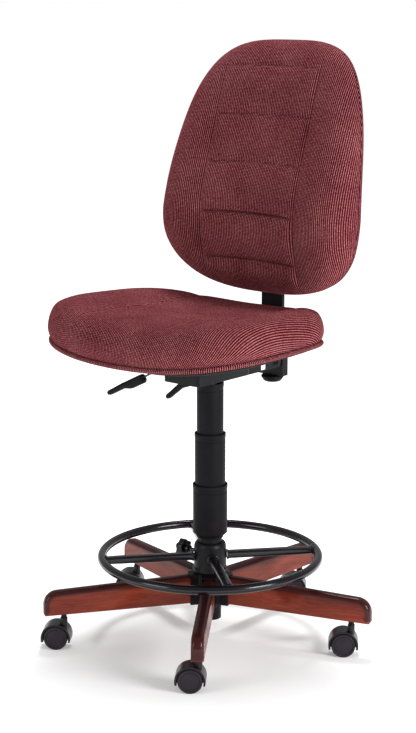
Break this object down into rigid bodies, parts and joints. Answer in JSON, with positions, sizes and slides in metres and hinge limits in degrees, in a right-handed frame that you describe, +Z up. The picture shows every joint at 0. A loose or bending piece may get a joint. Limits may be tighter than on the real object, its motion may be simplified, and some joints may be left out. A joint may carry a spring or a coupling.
{
  "type": "drafting chair",
  "caption": "Armless drafting chair: padded seat and tall back on a telescoping gas lift, with a footring and a wooden star base on swivelling twin-wheel castors.",
  "frame": {"origin": "on the floor, in the middle of the chair's footprint", "axes": "+Z up, +X towards the sitter's left hand, +Y towards the chair's back; the sitter faces -Y"},
  "size_m": [0.6927, 0.6573, 1.246],
  "materials": {
    "wood": "cherry stain under a gloss lacquer",
    "black_steel": "black powder coat",
    "black_plastic": "moulded black, fine texture",
    "castor_plastic": "moulded nylon, dark grey",
    "bright_steel": "ground and plated",
    "nylon": "natural nylon",
    "fabric": "burgundy ribbed upholstery",
    "plywood": "unfinished plywood"
  },
  "bodies": {
    "base": {"base_hub": "black_steel", "leg_1": "wood", "leg_2": "wood", "leg_3": "wood", "leg_4": "wood", "leg_5": "wood", "castor_1_stem": "bright_steel", "castor_2_stem": "bright_steel", "castor_3_stem": "bright_steel", "castor_4_stem": "bright_steel", "castor_5_stem": "bright_steel", "gas_lift_tube": "black_steel", "guide_bushing": "nylon", "thrust_bearing": "bright_steel", "piston_rod": "bright_steel"},
    "castor_1": {"castor_1_hood": "castor_plastic"},
    "castor_1_left": {"castor_1_wheel_left": "castor_plastic"},
    "castor_1_right": {"castor_1_wheel_right": "castor_plastic"},
    "castor_2": {"castor_2_hood": "castor_plastic"},
    "castor_2_left": {"castor_2_wheel_left": "castor_plastic"},
    "castor_2_right": {"castor_2_wheel_right": "castor_plastic"},
    "castor_3": {"castor_3_hood": "castor_plastic"},
    "castor_3_left": {"castor_3_wheel_left": "castor_plastic"},
    "castor_3_right": {"castor_3_wheel_right": "castor_plastic"},
    "castor_4": {"castor_4_hood": "castor_plastic"},
    "castor_4_left": {"castor_4_wheel_left": "castor_plastic"},
    "castor_4_right": {"castor_4_wheel_right": "castor_plastic"},
    "castor_5": {"castor_5_hood": "castor_plastic"},
    "castor_5_left": {"castor_5_wheel_left": "castor_plastic"},
    "castor_5_right": {"castor_5_wheel_right": "castor_plastic"},
    "footring": {"footring_hub": "black_steel", "footring": "black_steel", "spoke_1": "black_steel", "spoke_2": "black_steel", "spoke_3": "black_steel", "spoke_4": "black_steel"},
    "footring_knob": {"footring_knob": "black_plastic"},
    "cover_lower": {"cover_lower": "black_plastic"},
    "cover_middle": {"cover_middle": "black_plastic"},
    "lift": {"gas_cylinder": "bright_steel", "cover_upper": "black_plastic"},
    "release_pin": {"release_pin": "bright_steel"},
    "seat": {"mechanism_housing": "black_steel", "seat_plate": "black_steel", "tilt_pin": "bright_steel", "seat_board": "plywood", "seat_cushion": "fabric", "seat_welt": "fabric"},
    "height_lever": {"height_lever": "black_steel", "height_lever_grip": "black_plastic"},
    "tilt_lever": {"tilt_lever": "black_steel", "tilt_lever_grip": "black_plastic"},
    "back_frame": {"back_carrier": "black_steel", "back_post": "black_steel"},
    "tension_knob": {"tension_knob": "black_plastic"},
    "backrest": {"post_sleeve": "black_plastic", "back_board": "plywood", "back_cushion": "fabric", "back_panel": "fabric"}
  },
  "joints": [
    {"name": "castor_1_swivel", "type": "hinge", "parent": "base", "child": "castor_1", "pos_m": [0, 0.286, 0.07], "axis": [0, 0, 1], "continuous": true},
    {"name": "castor_1_left_roll", "type": "hinge", "parent": "castor_1", "child": "castor_1_left", "pos_m": [-0.01286, 0.27648, 0.025], "axis": [0.5948, -0.8039, 0], "continuous": true},
    {"name": "castor_1_right_roll", "type": "hinge", "parent": "castor_1", "child": "castor_1_right", "pos_m": [-0.01286, 0.27648, 0.025], "axis": [0.5948, -0.8039, 0], "continuous": true},
    {"name": "castor_2_swivel", "type": "hinge", "parent": "base", "child": "castor_2", "pos_m": [-0.29958, 0.06834, 0.07], "axis": [0, 0, 1], "continuous": true},
    {"name": "castor_2_left_roll", "type": "hinge", "parent": "castor_2", "child": "castor_2_left", "pos_m": [-0.31244, 0.05882, 0.025], "axis": [0.5948, -0.8039, 0], "continuous": true},
    {"name": "castor_2_right_roll", "type": "hinge", "parent": "castor_2", "child": "castor_2_right", "pos_m": [-0.31244, 0.05882, 0.025], "axis": [0.5948, -0.8039, 0], "continuous": true},
    {"name": "castor_3_swivel", "type": "hinge", "parent": "base", "child": "castor_3", "pos_m": [-0.18515, -0.28384, 0.07], "axis": [0, 0, 1], "continuous": true},
    {"name": "castor_3_left_roll", "type": "hinge", "parent": "castor_3", "child": "castor_3_left", "pos_m": [-0.19801, -0.29336, 0.025], "axis": [0.5948, -0.8039, 0], "continuous": true},
    {"name": "castor_3_right_roll", "type": "hinge", "parent": "castor_3", "child": "castor_3_right", "pos_m": [-0.19801, -0.29336, 0.025], "axis": [0.5948, -0.8039, 0], "continuous": true},
    {"name": "castor_4_swivel", "type": "hinge", "parent": "base", "child": "castor_4", "pos_m": [0.18515, -0.28384, 0.07], "axis": [0, 0, 1], "continuous": true},
    {"name": "castor_4_left_roll", "type": "hinge", "parent": "castor_4", "child": "castor_4_left", "pos_m": [0.17229, -0.29336, 0.025], "axis": [0.5948, -0.8039, 0], "continuous": true},
    {"name": "castor_4_right_roll", "type": "hinge", "parent": "castor_4", "child": "castor_4_right", "pos_m": [0.17229, -0.29336, 0.025], "axis": [0.5948, -0.8039, 0], "continuous": true},
    {"name": "castor_5_swivel", "type": "hinge", "parent": "base", "child": "castor_5", "pos_m": [0.29958, 0.06834, 0.07], "axis": [0, 0, 1], "continuous": true},
    {"name": "castor_5_left_roll", "type": "hinge", "parent": "castor_5", "child": "castor_5_left", "pos_m": [0.28672, 0.05882, 0.025], "axis": [0.5948, -0.8039, 0], "continuous": true},
    {"name": "castor_5_right_roll", "type": "hinge", "parent": "castor_5", "child": "castor_5_right", "pos_m": [0.28672, 0.05882, 0.025], "axis": [0.5948, -0.8039, 0], "continuous": true},
    {"name": "footring_slide", "type": "slide", "parent": "base", "child": "footring", "axis": [0, 0, 1], "range_m": [0, 0.03]},
    {"name": "footring_knob_turn", "type": "hinge", "parent": "footring", "child": "footring_knob", "pos_m": [-0.04983, -0.03305, 0.181], "axis": [-0.9967, -0.0811, 0], "continuous": true},
    {"name": "cover_lower_slide", "type": "slide", "parent": "base", "child": "cover_lower", "axis": [0, 0, 1], "range_m": [0, 0.03]},
    {"name": "cover_middle_slide", "type": "slide", "parent": "base", "child": "cover_middle", "axis": [0, 0, 1], "range_m": [-0.0485, 0.0135]},
    {"name": "seat_height", "type": "slide", "parent": "base", "child": "lift", "axis": [0, 0, 1], "range_m": [-0.145, 0.04]},
    {"name": "seat_swivel", "type": "hinge", "parent": "lift", "child": "seat", "pos_m": [0, -0.029, 0.59], "axis": [0, 0, 1], "continuous": true},
    {"name": "height_lever_pull", "type": "hinge", "parent": "seat", "child": "height_lever", "pos_m": [-0.05, -0.089, 0.597], "axis": [0, 1, 0], "range_deg": [0, 7], "stiffness_Nm_per_rad": 1, "springref_deg": -11.46},
    {"name": "release_pin_press", "type": "slide", "parent": "lift", "child": "release_pin", "axis": [0, 0, 1], "range_m": [-0.0062, 0]},
    {"name": "tilt_lever_pull", "type": "hinge", "parent": "seat", "child": "tilt_lever", "pos_m": [-0.028, 0.029, 0.571], "axis": [0, 1, 0], "range_deg": [0, 8], "stiffness_Nm_per_rad": 1, "springref_deg": -11.46},
    {"name": "back_tilt", "type": "hinge", "parent": "seat", "child": "back_frame", "pos_m": [0, 0.153, 0.572], "axis": [-1, 0, 0], "range_deg": [-4, 14]},
    {"name": "tension_knob_turn", "type": "hinge", "parent": "back_frame", "child": "tension_knob", "pos_m": [0, 0.1805, 0.53], "axis": [0, 0, 1], "continuous": true},
    {"name": "back_height", "type": "slide", "parent": "back_frame", "child": "backrest", "axis": [0, 0, 1], "range_m": [0, 0.06]}
  ],
  "couplings": [
    {"joint": "cover_lower_slide", "follows": "footring_slide", "ratio": 1},
    {"joint": "cover_middle_slide", "follows": "seat_height", "ratio": 0.33333},
    {"joint": "release_pin_press", "follows": "height_lever_pull", "m_per_rad": -0.05}
  ]
}
